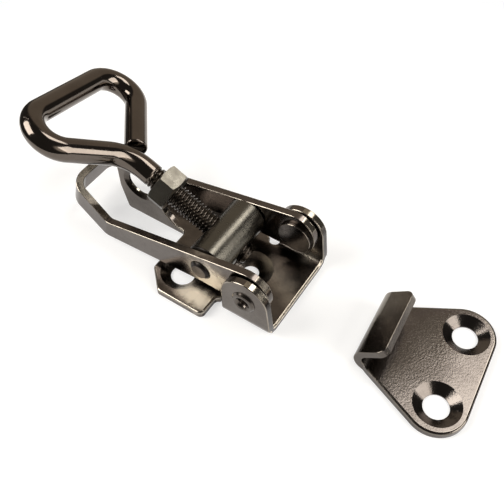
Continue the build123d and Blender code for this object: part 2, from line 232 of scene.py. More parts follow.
def place_group(tree: bpy.types.NodeTree, group: bpy.types.NodeTree,
                values: dict) -> bpy.types.Node:
    """Place a shared group in a material and feed it.

    Args:
        tree: Tree that gets the group.
        group: The shared group.
        values: Input name to socket, number or tuple.

    Returns:
        The group's node.
    """
    node = tree.nodes.new("ShaderNodeGroup")
    node.node_tree = group
    for label, value in values.items():
        feed(tree, node.inputs[label], value)
    return node


# ---------------------------------------------------------------- shader groups


def plating_tone_group() -> bpy.types.NodeTree:
    """Build the group that gives a plated surface its clouds, and its sheen places, which are
    rougher and painted a pale sheen colour.
    """
    tree = new_group(
        "Plating tone",
        [("Position", "NodeSocketVector"), ("Light", "NodeSocketColor"),
         ("Dark", "NodeSocketColor"), ("Cloud Scale", "NodeSocketFloat", 90.0),
         ("Smooth", "NodeSocketFloat", 0.12), ("Dull", "NodeSocketFloat", 0.25),
         ("Satin", "NodeSocketFloat", 0.0),
         ("Satin Colour", "NodeSocketColor"), ("Satin Roughness", "NodeSocketFloat", 0.4)],
        [("Colour", "NodeSocketColor"), ("Roughness", "NodeSocketFloat"),
         ("Metallic", "NodeSocketFloat")])
    given, out = tree.nodes["In"].outputs, tree.nodes["Out"].inputs
    clouds = noise_node(tree, given["Position"], given["Cloud Scale"], CLOUD_DETAIL,
                        CLOUD_ROUGHNESS)
    fine_scale = math_node(tree, "MULTIPLY", given["Cloud Scale"], SPECK_FINENESS)
    specks = noise_node(tree, given["Position"], fine_scale, SPECK_DETAIL)
    mask = band(tree, math_node(tree, "MULTIPLY_ADD", specks, SPECK_SHARE, clouds), *CLOUD_BAND)
    plated = mix_colour(tree, mask, given["Light"], given["Dark"])
    span = math_node(tree, "SUBTRACT", given["Dull"], given["Smooth"])
    rough = math_node(tree, "MULTIPLY_ADD", mask, span, given["Smooth"])
    # Sheen mask: a painted pale sheen colour, with the sheen roughness and less metal.
    satin_sheen = given["Satin"]
    change = math_node(tree, "SUBTRACT", given["Satin Roughness"], rough)
    feed(tree, out["Colour"], mix_colour(tree, satin_sheen, plated, given["Satin Colour"]))
    feed(tree, out["Roughness"], math_node(tree, "MULTIPLY_ADD", satin_sheen, change, rough))
    feed(tree, out["Metallic"], math_node(tree, "MULTIPLY_ADD", satin_sheen, -SATIN_SHEEN_METAL_LOSS, 1.0))
    return tree


def tool_marks_group() -> bpy.types.NodeTree:
    """Build the group that gives the height of tool lines, hairline scratches and soft waves."""
    tree = new_group(
        "Tool marks",
        [("Position", "NodeSocketVector"), ("Stretched", "NodeSocketVector"),
         ("Line Scale", "NodeSocketFloat", 900.0), ("Lines", "NodeSocketFloat", 0.3),
         ("Scratches", "NodeSocketFloat", 0.3), ("Waves", "NodeSocketFloat", 1.0)],
        [("Height", "NodeSocketFloat")])
    given, out = tree.nodes["In"].outputs, tree.nodes["Out"].inputs
    lines = noise_node(tree, given["Stretched"], given["Line Scale"], LINE_DETAIL)
    waves = noise_node(tree, given["Position"], WAVE_SCALE, WAVE_DETAIL, WAVE_ROUGHNESS)
    turned = mapping_node(tree, given["Position"], Rotation=HAIR_TURN, Scale=HAIR_STRETCH)
    hairs = band(tree, noise_node(tree, turned, HAIR_SCALE, HAIR_DETAIL), *HAIR_BAND)
    height = math_node(tree, "MULTIPLY", lines, given["Lines"])
    height = math_node(tree, "MULTIPLY_ADD", waves, given["Waves"], height)
    cut = math_node(tree, "MULTIPLY", hairs, given["Scratches"])
    feed(tree, out["Height"], math_node(tree, "SUBTRACT", height, cut))
    return tree


def sheen_patch_group() -> bpy.types.NodeTree:
    """Build the group that masks a soft-edged patch of painted pale sheen, a painted reflection.
    """
    tree = new_group(
        "Painted sheen patch",
        [("Position", "NodeSocketVector"), ("Middle", "NodeSocketVector"),
         ("Reach", "NodeSocketFloat", 0.006), ("Strength", "NodeSocketFloat", 1.0)],
        [("Mask", "NodeSocketFloat")])
    given, out = tree.nodes["In"].outputs, tree.nodes["Out"].inputs
    away = vector_node(tree, "DISTANCE", given["Position"], given["Middle"]).outputs["Value"]
    share = math_node(tree, "DIVIDE", away, given["Reach"])
    ragged = noise_node(tree, given["Position"], RAGGED_SCALE, RAGGED_DETAIL, RAGGED_ROUGHNESS)
    share = math_node(tree, "MULTIPLY_ADD", ragged, RAGGED_SHARE, share)
    mask = math_node(tree, "SUBTRACT", 1.0, band(tree, share, *SHEEN_PATCH_BAND))
    feed(tree, out["Mask"], math_node(tree, "MULTIPLY", mask, given["Strength"]))
    return tree


# ---------------------------------------------------------------- finishes


@dataclass(frozen=True)
class SheenPatch:
    """A patch of painted pale sheen, a painted reflection: middle and reach in mm, and how strong
    it is.
    """

    middle: tuple
    reach: float
    strength: float = 1.0

    def mask(self, tree: bpy.types.NodeTree, position, group: bpy.types.NodeTree):
        """Place the patch in a material and return its mask's socket."""
        spot = place_group(tree, group, {
            "Position": position, "Middle": tuple(value * MM for value in self.middle),
            "Reach": self.reach * MM, "Strength": self.strength})
        return spot.outputs["Mask"]


@dataclass(frozen=True)
class Finish:
    """A plated metal finish and the marks that are left in it.

    light and dark are the colours between which the plating clouds, smooth and dull the
    roughness that goes with each. relief is the height of the tool marks in metres.
    sheen_patches are its places with a painted pale sheen, rougher and less metallic, and
    sheen_everywhere is how much of that painted sheen it has all over where it has none.
    """

    name: str
    light: tuple
    dark: tuple
    smooth: float
    dull: float
    cloud_scale: float = 90.0
    grain: Grain = Grain.TUMBLED
    lines: float = 0.15
    line_scale: float = 900.0
    scratches: float = 0.2
    waves: float = 1.0
    relief: float = 0.00004
    # Pale colour painted into sheen places: a painted reflection.
    sheen_colour: tuple = (0.98, 0.88, 0.72)
    sheen_patches: tuple = ()
    sheen_everywhere: float = 0.0

    def material(self, groups: dict) -> bpy.types.Material:
        """Build the finish as a material.

        Args:
            groups: Shared node groups by name.

        Returns:
            The material.
        """
        material = bpy.data.materials.new(self.name)
        material.use_nodes = True
        tree = material.node_tree
        shader = tree.nodes["Principled BSDF"]
        position = tree.nodes.new("ShaderNodeTexCoord").outputs["Object"]
        # Sheen places: painted pale sheen, standing in for reflections.
        satin_sheen = self.sheen_everywhere
        for number, sheen_patch in enumerate(self.sheen_patches):
            mask = sheen_patch.mask(tree, position, groups["sheen_patch"])
            satin_sheen = math_node(tree, "MAXIMUM", satin_sheen, mask) if number else mask
        tone = place_group(tree, groups["tone"], {
            "Position": position, "Light": (*self.light, 1.0), "Dark": (*self.dark, 1.0),
            "Cloud Scale": self.cloud_scale, "Smooth": self.smooth, "Dull": self.dull,
            "Satin": satin_sheen, "Satin Colour": (*self.sheen_colour, 1.0)})
        marks = place_group(tree, groups["marks"], {
            "Position": position,
            "Stretched": mapping_node(tree, position, Scale=self.grain.value),
            "Lines": self.lines, "Line Scale": self.line_scale,
            "Scratches": self.scratches, "Waves": self.waves})
        bump = tree.nodes.new("ShaderNodeBump")
        bump.inputs["Strength"].default_value = 1.0
        bump.inputs["Distance"].default_value = self.relief
        feed(tree, bump.inputs["Height"], marks.outputs["Height"])
        feed(tree, shader.inputs["Base Color"], tone.outputs["Colour"])
        feed(tree, shader.inputs["Roughness"], tone.outputs["Roughness"])
        feed(tree, shader.inputs["Metallic"], tone.outputs["Metallic"])
        feed(tree, shader.inputs["Normal"], bump.outputs[0])
        return material


# Patches of painted pale sheen, standing in for reflections: on the near wing, between the ears,
# on the far ear, broadly on the catch plate and on the lever by its pin.
WING_SHEEN_PATCHES = (
    SheenPatch((-19.4, -12.0, 2.0), 3.0, 0.6), SheenPatch((-17.3, -14.5, 2.0), 3.6, 0.8),
    SheenPatch((-15.0, -15.0, 2.0), 3.8, 0.9), SheenPatch((-12.6, -14.9, 2.0), 4.0, 0.9),
    SheenPatch((-10.6, -14.6, 2.0), 3.6, 0.8))
SEAT_SHEEN_PATCHES = (
    SheenPatch((-2.8, 4.4, 2.0), 4.6, 0.20), SheenPatch((0.0, 2.3, 2.0), 4.8, 0.22),
    SheenPatch((3.0, 0.2, 2.0), 4.8, 0.20), SheenPatch((6.0, -2.2, 2.0), 4.4, 0.15))
FAR_EAR_SHEEN_PATCH = SheenPatch((4.0, 11.5, 3.5), 4.0, 0.30)
TAB_SHEEN_PATCH = SheenPatch((26.0, 7.0, 7.5), 12.0, 0.12)
LEVER_PIN_SHEEN_PATCH = SheenPatch((-12.5, -11.6, 8.0), 8.0, 0.8)

# The base, catch and lever finishes carry those painted sheen patches.
POLISHED_BASE = Finish(
    "dark_nickel_base", light=(0.150, 0.132, 0.117), dark=(0.104, 0.089, 0.078),
    smooth=0.14, dull=0.24, waves=18.0, lines=0.4, line_scale=2200.0,
    sheen_patches=(*WING_SHEEN_PATCHES, *SEAT_SHEEN_PATCHES, FAR_EAR_SHEEN_PATCH))
POLISHED_CATCH = Finish(
    "dark_nickel_catch", light=(0.120, 0.106, 0.096), dark=(0.092, 0.080, 0.072),
    smooth=0.12, dull=0.18, waves=3.6, lines=0.55, line_scale=2300.0, sheen_patches=(TAB_SHEEN_PATCH,))
POLISHED_LEVER = Finish(
    "dark_nickel_lever", light=(0.142, 0.124, 0.113), dark=(0.104, 0.089, 0.080),
    smooth=0.14, dull=0.24, waves=7.0, lines=0.3, line_scale=2200.0, sheen_patches=(LEVER_PIN_SHEEN_PATCH,))
POLISHED_ROD = Finish(
    "dark_nickel_rod", light=(0.140, 0.120, 0.104), dark=(0.116, 0.098, 0.084),
    smooth=0.08, dull=0.13, lines=0.1)
ROLLED_THREAD = Finish(
    "dark_nickel_thread", light=(0.105, 0.090, 0.076), dark=(0.070, 0.059, 0.050),
    smooth=0.16, dull=0.26, cloud_scale=260.0)
SATIN_BARREL = Finish(
    "dark_nickel_barrel", light=(0.132, 0.123, 0.104), dark=(0.106, 0.098, 0.083),
    smooth=0.22, dull=0.30, grain=Grain.TURNED_ABOUT_Y, lines=0.35, waves=0.0)
RIVET_NICKEL = Finish(
    "dark_nickel_rivet", light=(0.142, 0.126, 0.112), dark=(0.085, 0.073, 0.064),
    smooth=0.13, dull=0.28, cloud_scale=220.0, waves=3.0)
# Near-black colour for faces that look forward along +X: a painted dark reflection.
DARK_FRONT_REFLECTION = Finish(
    "dark_nickel_painted_dark_front", light=(0.060, 0.052, 0.048), dark=(0.040, 0.035, 0.032),
    smooth=0.22, dull=0.34, cloud_scale=240.0, waves=2.0)
# Pale colour painted all over the rounded front lip: a painted highlight.
LIP_HIGHLIGHT = Finish(
    "dark_nickel_lip_highlight", light=(0.30, 0.27, 0.22), dark=(0.20, 0.175, 0.145),
    smooth=0.20, dull=0.30, cloud_scale=300.0, waves=3.0, sheen_everywhere=1.0)
ROLLED_RIM = Finish(
    "dark_nickel_rolled_rim", light=(0.20, 0.178, 0.155), dark=(0.15, 0.133, 0.115),
    smooth=0.10, dull=0.18, cloud_scale=260.0, waves=2.0)
# Pale colour for rims that look up and forward: a painted highlight.
RIM_HIGHLIGHT = Finish(
    "dark_nickel_rim_highlight", light=(0.36, 0.325, 0.27), dark=(0.20, 0.175, 0.145),
    smooth=0.10, dull=0.20, cloud_scale=260.0, waves=4.0)
# Near-black colour for the ring round the near pin end and the trunnion's rounded edges: painted
# shade.
PIN_RING_SHADE = Finish(
    "dark_nickel_pin_ring_shade", light=(0.030, 0.026, 0.024), dark=(0.020, 0.018, 0.017),
    smooth=0.25, dull=0.40, cloud_scale=300.0)
PIN_FACE = Finish(
    "dark_nickel_pin_face", light=(0.120, 0.100, 0.084), dark=(0.060, 0.050, 0.043),
    smooth=0.30, dull=0.42, cloud_scale=420.0, waves=3.0)
# Lighter colour on rounded edges: edge wear, and also a painted highlight along the edges.
EDGE_WEAR_AND_HIGHLIGHT = Finish(
    "edge_wear_and_highlight", light=(0.34, 0.305, 0.26), dark=(0.24, 0.212, 0.18),
    smooth=0.15, dull=0.28, cloud_scale=260.0, lines=0.2)
PALE_NUT = Finish(
    "pale_nut_plating", light=(0.20, 0.188, 0.160), dark=(0.14, 0.129, 0.108),
    smooth=0.26, dull=0.36, cloud_scale=300.0, lines=0.4)


# ---------------------------------------------------------------- geometry nodes


def screwed_rod_tree() -> bpy.types.NodeTree:
    """Build the tree that sweeps a round rod along its line and rolls a thread into one end.

    Returns:
        The node tree.
    """
    tree = bpy.data.node_groups.new("Screwed rod", "GeometryNodeTree")
    face = tree.interface
    face.new_socket("Geometry", in_out="INPUT", socket_type="NodeSocketGeometry")
    for label in ("Radius", "Pitch", "Depth", "Thread End", "Run Out", "Tail Chamfer",
                  "End Chamfer", "Length"):
        face.new_socket(label, in_out="INPUT", socket_type="NodeSocketFloat")
    face.new_socket("Sides", in_out="INPUT", socket_type="NodeSocketInt")
    face.new_socket("Finish", in_out="INPUT", socket_type="NodeSocketMaterial")
    face.new_socket("Geometry", in_out="OUTPUT", socket_type="NodeSocketGeometry")
    nodes, links = tree.nodes, tree.links
    source, out = nodes.new("NodeGroupInput"), nodes.new("NodeGroupOutput")

    to_curve = nodes.new("GeometryNodeMeshToCurve")
    links.new(source.outputs["Geometry"], to_curve.inputs[0])
    spot, run = nodes.new("GeometryNodeInputPosition"), nodes.new("GeometryNodeSplineParameter")
    line = capture(tree, to_curve.outputs[0], {"middle": ("VECTOR", spot.outputs[0]),
                                               "along": ("FLOAT", run.outputs["Length"])})
    circle = nodes.new("GeometryNodeCurvePrimitiveCircle")
    links.new(source.outputs["Sides"], circle.inputs["Resolution"])
    links.new(source.outputs["Radius"], circle.inputs["Radius"])
    lap = nodes.new("GeometryNodeSplineParameter")
    ring = capture(tree, circle.outputs[0], {"around": ("FLOAT", lap.outputs["Factor"])})
    sweep = nodes.new("GeometryNodeCurveToMesh")
    links.new(line.outputs["Geometry"], sweep.inputs["Curve"])
    links.new(ring.outputs["Geometry"], sweep.inputs["Profile Curve"])
    sweep.inputs["Fill Caps"].default_value = True

    along, around = line.outputs["along"], ring.outputs["around"]
    turns = math_node(tree, "DIVIDE", along, source.outputs["Pitch"])
    saw = math_node(tree, "FRACT", math_node(tree, "SUBTRACT", turns, around))
    flank = math_node(tree, "ABSOLUTE", math_node(tree, "MULTIPLY_ADD", saw, 2.0, -1.0))
    groove = band(tree, flank, *GROOVE_BAND)
    left = math_node(tree, "SUBTRACT", source.outputs["Thread End"], along)
    fade = math_node(tree, "DIVIDE", left, source.outputs["Run Out"])
    fade = math_node(tree, "MINIMUM", math_node(tree, "MAXIMUM", fade, 0.0), 1.0)
    drop = math_node(tree, "MULTIPLY", groove, source.outputs["Depth"])
    drop = math_node(tree, "MULTIPLY", drop, fade)
    tail = math_node(tree, "SUBTRACT", source.outputs["Tail Chamfer"], along)
    rest = math_node(tree, "SUBTRACT", source.outputs["Length"], along)
    end = math_node(tree, "SUBTRACT", source.outputs["End Chamfer"], rest)
    for cut in (tail, end):
        drop = math_node(tree, "MAXIMUM", drop, math_node(tree, "MAXIMUM", cut, 0.0))

    here = nodes.new("GeometryNodeInputPosition")
    spoke = vector_node(tree, "SUBTRACT", line.outputs["middle"], here.outputs[0])
    inward = vector_node(tree, "NORMALIZE", spoke.outputs[0])
    push = vector_node(tree, "SCALE", inward.outputs[0], drop)
    shift = nodes.new("GeometryNodeSetPosition")
    links.new(sweep.outputs[0], shift.inputs["Geometry"])
    links.new(push.outputs[0], shift.inputs["Offset"])
    realize = nodes.new("GeometryNodeRealizeInstances")
    links.new(shift.outputs[0], realize.inputs[0])
    paint = nodes.new("GeometryNodeSetMaterial")
    links.new(realize.outputs[0], paint.inputs["Geometry"])
    links.new(source.outputs["Finish"], paint.inputs["Material"])
    links.new(paint.outputs[0], out.inputs[0])
    return tree


def capture(tree: bpy.types.NodeTree, geometry, items: dict) -> bpy.types.Node:
    """Store fields on a curve's points so that the mesh swept from it still has them.

    Args:
        tree: Tree that gets the node.
        geometry: Socket with the curve.
        items: Name to (data type, socket with the field).

    Returns:
        The Capture Attribute node, with an output socket for each name.
    """
    node = tree.nodes.new("GeometryNodeCaptureAttribute")
    tree.links.new(geometry, node.inputs["Geometry"])
    for label, (kind, socket) in items.items():
        node.capture_items.new(kind, label)
        tree.links.new(socket, node.inputs[label])
    return node


def run_tree(piece: bpy.types.Object, tree: bpy.types.NodeTree, values: dict) -> None:
    """Run a geometry tree on a piece and keep its result as a plain mesh.

    Args:
        piece: Object that carries the input mesh, which the result replaces.
        tree: Geometry node tree.
        values: Socket name to value.
    """
    modifier = piece.modifiers.new(tree.name, "NODES")
    modifier.node_group = tree
    for item in tree.interface.items_tree:
        if item.in_out == "INPUT" and item.name in values:
            modifier[item.identifier] = values[item.name]
    bake_modifiers(piece)


# ---------------------------------------------------------------- meshes


def add_object(name: str, mesh: bpy.types.Mesh) -> bpy.types.Object:
    """Link a new object for a mesh into the scene and return it."""
    piece = bpy.data.objects.new(name, mesh)
    bpy.context.scene.collection.objects.link(piece)
    return piece


def shade_crisp(piece: bpy.types.Object) -> None:
    """Shade a piece as worked metal: flat faces stay flat and broken edges turn smoothly.

    Every edge sharper than CRISP stays crisp, apart from those at EDGE_BREAK, where a
    narrow broken edge meets its faces.

    Args:
        piece: Object with a plain mesh, which gets the shading.
    """
    shape = bmesh.new()
    shape.from_mesh(piece.data)
    for face in shape.faces:
        face.smooth = True
    for edge in shape.edges:
        turn = math.degrees(edge.calc_face_angle(0.0))
        edge.smooth = turn < CRISP or EDGE_BREAK[0] < turn < EDGE_BREAK[1]
    shape.to_mesh(piece.data)
    shape.free()
    flatten = piece.modifiers.new("flat_faces", "WEIGHTED_NORMAL")
    flatten.keep_sharp = True
    flatten.weight = FLAT_FACE_WEIGHT
    bake_modifiers(piece)


def edges_turning(shape: bmesh.types.BMesh, span: tuple) -> list:
    """List a mesh's outward edges whose faces turn by an angle within a span of degrees."""
    return [edge for edge in shape.edges if edge.is_manifold and edge.is_convex
            and span[0] < math.degrees(edge.calc_face_angle(0.0)) < span[1]]


def bake_modifiers(piece: bpy.types.Object) -> None:
    """Keep what a piece's modifiers give as its plain mesh, and take the modifiers off."""
    bpy.context.view_layer.update()
    graph = bpy.context.evaluated_depsgraph_get()
    mesh = bpy.data.meshes.new_from_object(piece.evaluated_get(graph))
    piece.modifiers.clear()
    piece.data = mesh


def broken_edges(shape: bmesh.types.BMesh) -> list:
    """Give the edges of the solid's small chamfers."""
    return edges_turning(shape, EDGE_BREAK)


def square_edges(shape: bmesh.types.BMesh) -> list:
    """Give the square outer edges."""
    return edges_turning(shape, SQUARE)


def lip_edges(shape: bmesh.types.BMesh) -> list:
    """Give the square edges at the top of the foremost face of a sheet lying flat."""
    front = max(corner.co.x for corner in shape.verts) - FOREMOST
    return [edge for edge in square_edges(shape)
            if all(end.co.x > front and abs(end.co.z - SHEET) < SHEET / 2
                   for end in edge.verts)]


@dataclass(frozen=True)
class FaceTint:
    """A finish of its own for the faces that look one way. Here most tints paint light by that
    way: a dark reflection, highlights and shade.

    spread is how many degrees a face may turn from toward, and above the height in metres
    that its middle has to pass.
    """

    finish: Finish
    toward: tuple
    spread: float = 30.0
    above: float = -math.inf

    def covers(self, face: bpy.types.MeshPolygon) -> bool:
        """Tell if a face looks the tint's way and lies high enough."""
        turn = face.normal.angle(Vector(self.toward), math.pi)
        return turn < math.radians(self.spread) and face.center.z > self.above


@dataclass
class StampedPiece:
    """A rigid piece whose cut edges are broken as tumbling and plating leave them.

    edge, roll and lip are the widths in metres by which square edges, small chamfers and
    the front lip are rounded, each in this many steps. edge_wear_and_light dresses the edge
    and roll roundings with edge wear and painted light, lip_finish paints a highlight on
    the lip's rounding, tints some faces, and finish all the rest.
    """

    node: str
    body: str
    slot: str
    finish: Finish
    # Rounded edges' finish: lighter for edge wear and a painted highlight, near-black painted
    # shade on the trunnion.
    edge_wear_and_light: Finish = EDGE_WEAR_AND_HIGHLIGHT
    edge: float = 0.14 * MM
    roll: float = 0.0
    steps: int = 2
    lip: float = 0.0
    # Painted highlight on the rounded front lip.
    lip_finish: Finish = LIP_HIGHLIGHT
    tints: tuple = ()

    def mesh(self) -> bpy.types.Mesh:
        """Copy the node's mesh and round its edges.

        Returns:
            The new mesh, whose faces say which of finishes() they take.
        """
        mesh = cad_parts[self.node].data.copy()
        mesh.name = f"{self.node}_rounded"
        mesh.materials.clear()
        shape = bmesh.new()
        shape.from_mesh(mesh)
        bmesh.ops.remove_doubles(shape, verts=shape.verts, dist=WELD)
        bmesh.ops.dissolve_limit(shape, angle_limit=math.radians(FLAT), verts=shape.verts,
                                 edges=shape.edges, delimit=set())
        finishes = self.finishes()
        for edges, width, finish in ((lip_edges, self.lip, self.lip_finish),
                                     (broken_edges, self.roll, self.edge_wear_and_light),
                                     (square_edges, self.edge, self.edge_wear_and_light)):
            if width:
                bmesh.ops.bevel(shape, geom=edges(shape), offset=width,
                                offset_type="OFFSET", segments=self.steps,
                                profile=ROUND_PROFILE, affect="EDGES", clamp_overlap=False,
                                material=finishes.index(finish))
        shape.to_mesh(mesh)
        shape.free()
        for face in mesh.polygons:
            tint = next((tint for tint in self.tints if tint.covers(face)), None)
            if tint and face.material_index == 0:
                face.material_index = finishes.index(tint.finish)
        return mesh

    def finishes(self) -> list:
        """List the piece's finishes in the order of their materials, each one once."""
        lip = (self.lip_finish,) if self.lip else ()
        tints = (tint.finish for tint in self.tints)
        return list(dict.fromkeys((self.finish, self.edge_wear_and_light, *lip, *tints)))

    def build(self, groups: dict) -> bpy.types.Object:
        """Make the piece and dress it.

        Args:
            groups: Shared node groups by name.

        Returns:
            The finished piece.
        """
        mesh = self.mesh()
        for finish in self.finishes():
            mesh.materials.append(finish.material(groups))
        piece = add_object(f"{self.node}_finished", mesh)
        shade_crisp(piece)
        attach(piece, self.body)
        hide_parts(self.node)
        LOG.info("%s: %d faces", piece.name, len(piece.data.polygons))
        return piece


@dataclass
class HookBolt:
    """Round rod with a rolled thread on its shank and a triangular hook bent in one plane.

    Lengths in metres run along the shank from middle, the trunnion's axis; angles are in
    degrees. rise is the shank's slope and roll the turn of the hook's plane about it.
    """

    finish: Finish
    thread_finish: Finish
    middle: tuple = (-14.35 * MM, 0.0, 9.65 * MM)
    rise: float = 24.85
    roll: float = -19.0
    radius: float = 3.0 * MM
    tail: float = 7.1 * MM
    tail_chamfer: float = 1.0 * MM
    end_chamfer: float = 0.5 * MM
    thread_end: float = 24.8 * MM
    pitch: float = 1.0 * MM
    depth: float = 0.50 * MM
    run_out: float = 1.2 * MM
    past_thread: float = 0.5 * MM    # how far the close points go on after the thread
    bend: float = 32.5 * MM
    bend_radius: float = 11.5 * MM
    reach: float = 54.3 * MM
    near_angle: float = 53.4
    far_angle: float = 55.6
    corner_radius: float = 6.65 * MM
    return_start: float = 32.7 * MM
    return_offset: float = 3.47 * MM
    steps_per_pitch: int = 12
    arc_step: float = 4.0
    sides: int = 56

    def corners(self) -> list:
        """Give the route's corners in the hook's own plane, as (along, across, radius)."""
        rise = self.reach - self.bend
        near = -rise * math.tan(math.radians(self.near_angle))
        far = self.return_offset + (self.reach - self.return_start) * math.tan(
            math.radians(self.far_angle))
        return [(-self.tail, 0.0, 0.0), (self.bend, 0.0, self.bend_radius),
                (self.reach, near, self.corner_radius), (self.reach, far, self.corner_radius),
                (self.return_start, self.return_offset, 0.0)]

    def line(self) -> list:
        """Give the rod's middle line as points in the frame.

        Returns:
            Points from the screwed end to the hook's cut end: close together on the thread,
            and one for every few degrees of each bend.
        """
        corners = self.corners()
        flat = [Vector(corners[0][:2])]
        screwed = self.tail + self.thread_end + self.past_thread
        count = round(screwed / self.pitch * self.steps_per_pitch)
        flat += [flat[0] + Vector((screwed * i / count, 0.0)) for i in range(1, count + 1)]
        for before, (x, y, radius), after in zip(corners, corners[1:], corners[2:]):
            flat += bend_points(Vector(before[:2]), Vector((x, y)), Vector(after[:2]), radius,
                                self.arc_step)
        last = Vector(corners[-1][:2])
        back = (flat[-1] - last).normalized()
        flat += [last + back * self.end_chamfer, last]
        return [self.place(point) for point in flat]

    def place(self, point: Vector) -> Vector:
        """Turn a point of the hook's plane into one in the frame."""
        rise, roll = math.radians(self.rise), math.radians(self.roll)
        along = Vector((-math.cos(rise), 0.0, math.sin(rise)))
        upward = Vector((math.sin(rise), 0.0, math.cos(rise)))
        across = Vector((0.0, 1.0, 0.0)) * math.cos(roll) + upward * math.sin(roll)
        return Vector(self.middle) + along * point.x + across * point.y

    def build(self, groups: dict) -> bpy.types.Object:
        """Sweep the rod, roll its thread and dress it.

        Args:
            groups: Shared node groups by name.

        Returns:
            The finished piece.
        """
        points = self.line()
        mesh = bpy.data.meshes.new("hook_bolt_line")
        mesh.from_pydata(points, [(i, i + 1) for i in range(len(points) - 1)], [])
        piece = add_object("hook_bolt_threaded", mesh)
        length = sum((b - a).length for a, b in zip(points, points[1:]))
        run_tree(piece, screwed_rod_tree(), {
            "Radius": self.radius, "Pitch": self.pitch, "Depth": self.depth,
            "Thread End": self.tail + self.thread_end, "Run Out": self.run_out,
            "Tail Chamfer": self.tail_chamfer, "End Chamfer": self.end_chamfer,
            "Length": length, "Sides": self.sides, "Finish": self.finish.material(groups)})
        shade_crisp(piece)
        piece.data.materials.append(self.thread_finish.material(groups))
        shank = (points[1] - points[0]).normalized()
        for face in piece.data.polygons:
            if (face.center - points[0]).dot(shank) < self.tail + self.thread_end:
                face.material_index = 1
        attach(piece, "hook")
        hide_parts("hook_bolt")
        LOG.info("%s: %d faces, %.1f mm long", piece.name, len(piece.data.polygons), length / MM)
        return piece


def bend_points(before: Vector, corner: Vector, after: Vector, radius: float,
                step: float) -> list:
    """Round one corner of a flat route.

    Args:
        before: Corner before this one.
        corner: The corner to round.
        after: Corner after this one.
        radius: Radius of the bend.
        step: Degrees of bend for each point.

    Returns:
        Points along the arc, both ends included.
    """
    to_before, to_after = (before - corner).normalized(), (after - corner).normalized()
    half = to_before.angle(to_after) / 2
    centre = corner + (to_before + to_after).normalized() * radius / math.sin(half)
    start = corner + to_before * radius / math.tan(half) - centre
    turn = math.pi - 2 * half
    if to_before.cross(to_after) > 0:
        turn = -turn
    count = max(2, round(abs(math.degrees(turn)) / step))
    arc = []
    for i in range(count + 1):
        angle = turn * i / count
        arc.append(centre + Vector((start.x * math.cos(angle) - start.y * math.sin(angle),
                                    start.x * math.sin(angle) + start.y * math.cos(angle))))
    return arc


# ---------------------------------------------------------------- studio


@dataclass
class Softbox:
    """A soft lamp, width by height in metres, that shines at the latch."""

    name: str
    azimuth: float
    elevation: float
    distance: float
    width: float
    height: float
    power: float
    colour: tuple = (1.0, 0.97, 0.92)

    def build(self, target: Vector) -> None:
        """Hang the lamp and turn it to the target."""
        lamp = bpy.data.lights.new(self.name, "AREA")
        lamp.shape = "RECTANGLE"
        lamp.size = self.width
        lamp.size_y = self.height
        lamp.energy = self.power
        lamp.color = self.colour
        piece = bpy.data.objects.new(self.name, lamp)
        bpy.context.scene.collection.objects.link(piece)
        aim(piece, target + outward(self.azimuth, self.elevation) * self.distance, target)


def outward(azimuth: float, elevation: float) -> Vector:
    """Give the unit vector from the latch to a place; azimuth 0 is -Y and 90 is +X."""
    turn, lift = math.radians(azimuth), math.radians(elevation)
    return Vector((math.sin(turn) * math.cos(lift), -math.cos(turn) * math.cos(lift),
                   math.sin(lift)))


def aim(piece: bpy.types.Object, place: Vector, target: Vector) -> None:
    """Put a lamp or camera at a place and point it at the target, its top upwards."""
    piece.location = place
    piece.rotation_euler = (target - place).to_track_quat("-Z", "Y").to_euler()


@dataclass(frozen=True)
class LitWall:
    """A soft-edged lit patch of the tent: its place, its full and outer reach, its colour."""

    azimuth: float
    elevation: float
    inner: float
    outer: float
    colour: tuple


@dataclass
class Tent:
    """Dark tent around the latch and the lamps, hidden from the camera.

    It stands between the metal and the white world, so that the metal mirrors the tent.
    """

    radius: float = 1.3
    segments: int = 48
    rings: int = 24
    dark: tuple = (0.075, 0.070, 0.065, 1)
    walls: tuple = field(default_factory=lambda: (
        LitWall(203.0, 25.0, 33.0, 43.0, (0.50, 0.43, 0.35, 1)),
        LitWall(70.0, 27.0, 6.0, 22.0, (1.25, 1.15, 1.0, 1)),
    ))

    def build(self) -> None:
        """Hang the tent, so that the camera looks through it."""
        shape = bmesh.new()
        bmesh.ops.create_uvsphere(shape, u_segments=self.segments,
                                   v_segments=self.rings, radius=self.radius)
        bmesh.ops.reverse_faces(shape, faces=shape.faces)
        mesh = bpy.data.meshes.new("tent")
        shape.to_mesh(mesh)
        shape.free()
        mesh.materials.append(self.material())
        tent = add_object("tent", mesh)
        tent.visible_camera = False

    def material(self) -> bpy.types.Material:
        """Build the tent's cloth: dark, with its lit walls."""
        material = bpy.data.materials.new("tent_cloth")
        material.use_nodes = True
        tree = material.node_tree
        tree.nodes.clear()
        place = tree.nodes.new("ShaderNodeTexCoord")
        unit = vector_node(tree, "NORMALIZE", place.outputs["Object"]).outputs[0]
        glow = tree.nodes.new("ShaderNodeEmission")
        colour = self.dark
        for wall in self.walls:
            facing = vector_node(tree, "DOT_PRODUCT", unit,
                                 tuple(outward(wall.azimuth, wall.elevation)))
            mask = band(tree, facing.outputs["Value"], math.cos(math.radians(wall.outer)),
                        math.cos(math.radians(wall.inner)))
            colour = mix_colour(tree, mask, colour, wall.colour)
        feed(tree, glow.inputs["Color"], colour)
        out = tree.nodes.new("ShaderNodeOutputMaterial")
        feed(tree, out.inputs["Surface"], glow.outputs[0])
        return material


